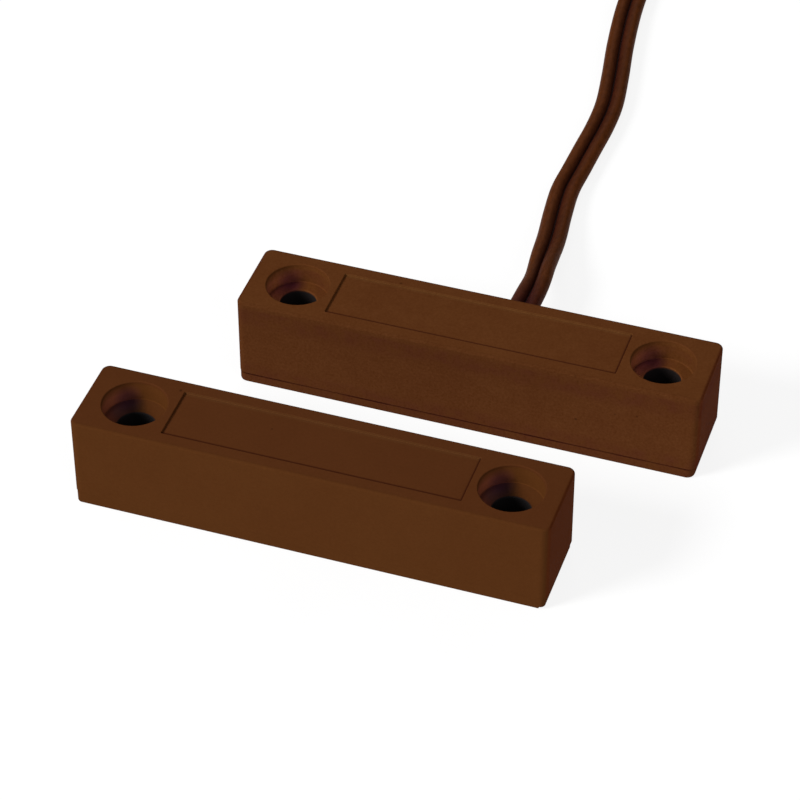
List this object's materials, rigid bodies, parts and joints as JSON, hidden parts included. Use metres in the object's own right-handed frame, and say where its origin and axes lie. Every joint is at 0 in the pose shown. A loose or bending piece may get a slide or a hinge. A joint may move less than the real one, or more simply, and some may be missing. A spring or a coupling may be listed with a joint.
{
  "type": "door contact sensor",
  "caption": "Surface-mount magnetic door contact: a slim reed switch unit with a twin flying lead, and a matching magnet unit that slides towards and away from it.",
  "frame": {"origin": "centre of the switch unit's mounting face", "axes": "+X along both units, +Y from the magnet unit to the switch unit, +Z out of the mounting surface"},
  "size_m": [0.0731, 0.1583, 0.0116],
  "materials": {
    "housing_plastic": "moulded ABS, dark brown, fine satin texture",
    "plate_plastic": "moulded ABS, dark brown, fine satin texture",
    "reed_glass": "clear greenish sealing glass",
    "nickel_iron": "tinned nickel-iron reed",
    "silicone": "cured translucent white silicone",
    "lead_insulation": "soft dark brown PVC insulation",
    "copper": "bare copper strands",
    "solder": "bright tin solder",
    "shrink_sleeve": "black shrink sleeve",
    "tie_nylon": "natural nylon",
    "magnet_ferrite": "sintered ferrite, dark grey",
    "foam": "black foam strip"
  },
  "bodies": {
    "switch_unit": {"switch_housing": "housing_plastic", "switch_base_plate": "plate_plastic", "reed_glass_capsule": "reed_glass", "reed_lead_a": "nickel_iron", "reed_lead_b": "nickel_iron", "reed_adhesive_a": "silicone", "reed_adhesive_b": "silicone", "wire_core_a": "lead_insulation", "wire_core_b": "lead_insulation", "conductor_a": "copper", "conductor_b": "copper", "solder_joint_a": "solder", "solder_joint_b": "solder", "shrink_sleeve_a": "shrink_sleeve", "shrink_sleeve_b": "shrink_sleeve", "cable_adhesive_plug": "silicone", "cable_core_a": "lead_insulation", "cable_core_b": "lead_insulation", "cable_coil": "lead_insulation", "cable_tie": "tie_nylon", "cable_tail_a": "lead_insulation", "cable_tail_b": "lead_insulation", "tinned_end_a": "solder", "tinned_end_b": "solder"},
    "magnet_unit": {"magnet_housing": "housing_plastic", "magnet_base_plate": "plate_plastic", "bar_magnet": "magnet_ferrite", "magnet_adhesive": "silicone", "magnet_foam_strip": "foam"},
    "blade_a": {"reed_blade_a": "nickel_iron"},
    "blade_b": {"reed_blade_b": "nickel_iron"}
  },
  "joints": [
    {"name": "magnet_travel", "type": "slide", "parent": "switch_unit", "child": "magnet_unit", "axis": [0, 1, 0], "range_m": [-0.06, 0.0134]},
    {"name": "blade_a_flex", "type": "hinge", "parent": "switch_unit", "child": "blade_a", "pos_m": [-0.0061, -0.0019, 0.006], "axis": [0, 1, 0], "range_deg": [0, 0.44], "stiffness_Nm_per_rad": 0.005},
    {"name": "blade_b_flex", "type": "hinge", "parent": "switch_unit", "child": "blade_b", "pos_m": [0.0061, -0.0019, 0.006], "axis": [0, 1, 0], "range_deg": [0, 0.44], "stiffness_Nm_per_rad": 0.005}
  ],
  "couplings": [
    {"joint": "blade_b_flex", "follows": "blade_a_flex", "ratio": 1}
  ]
}
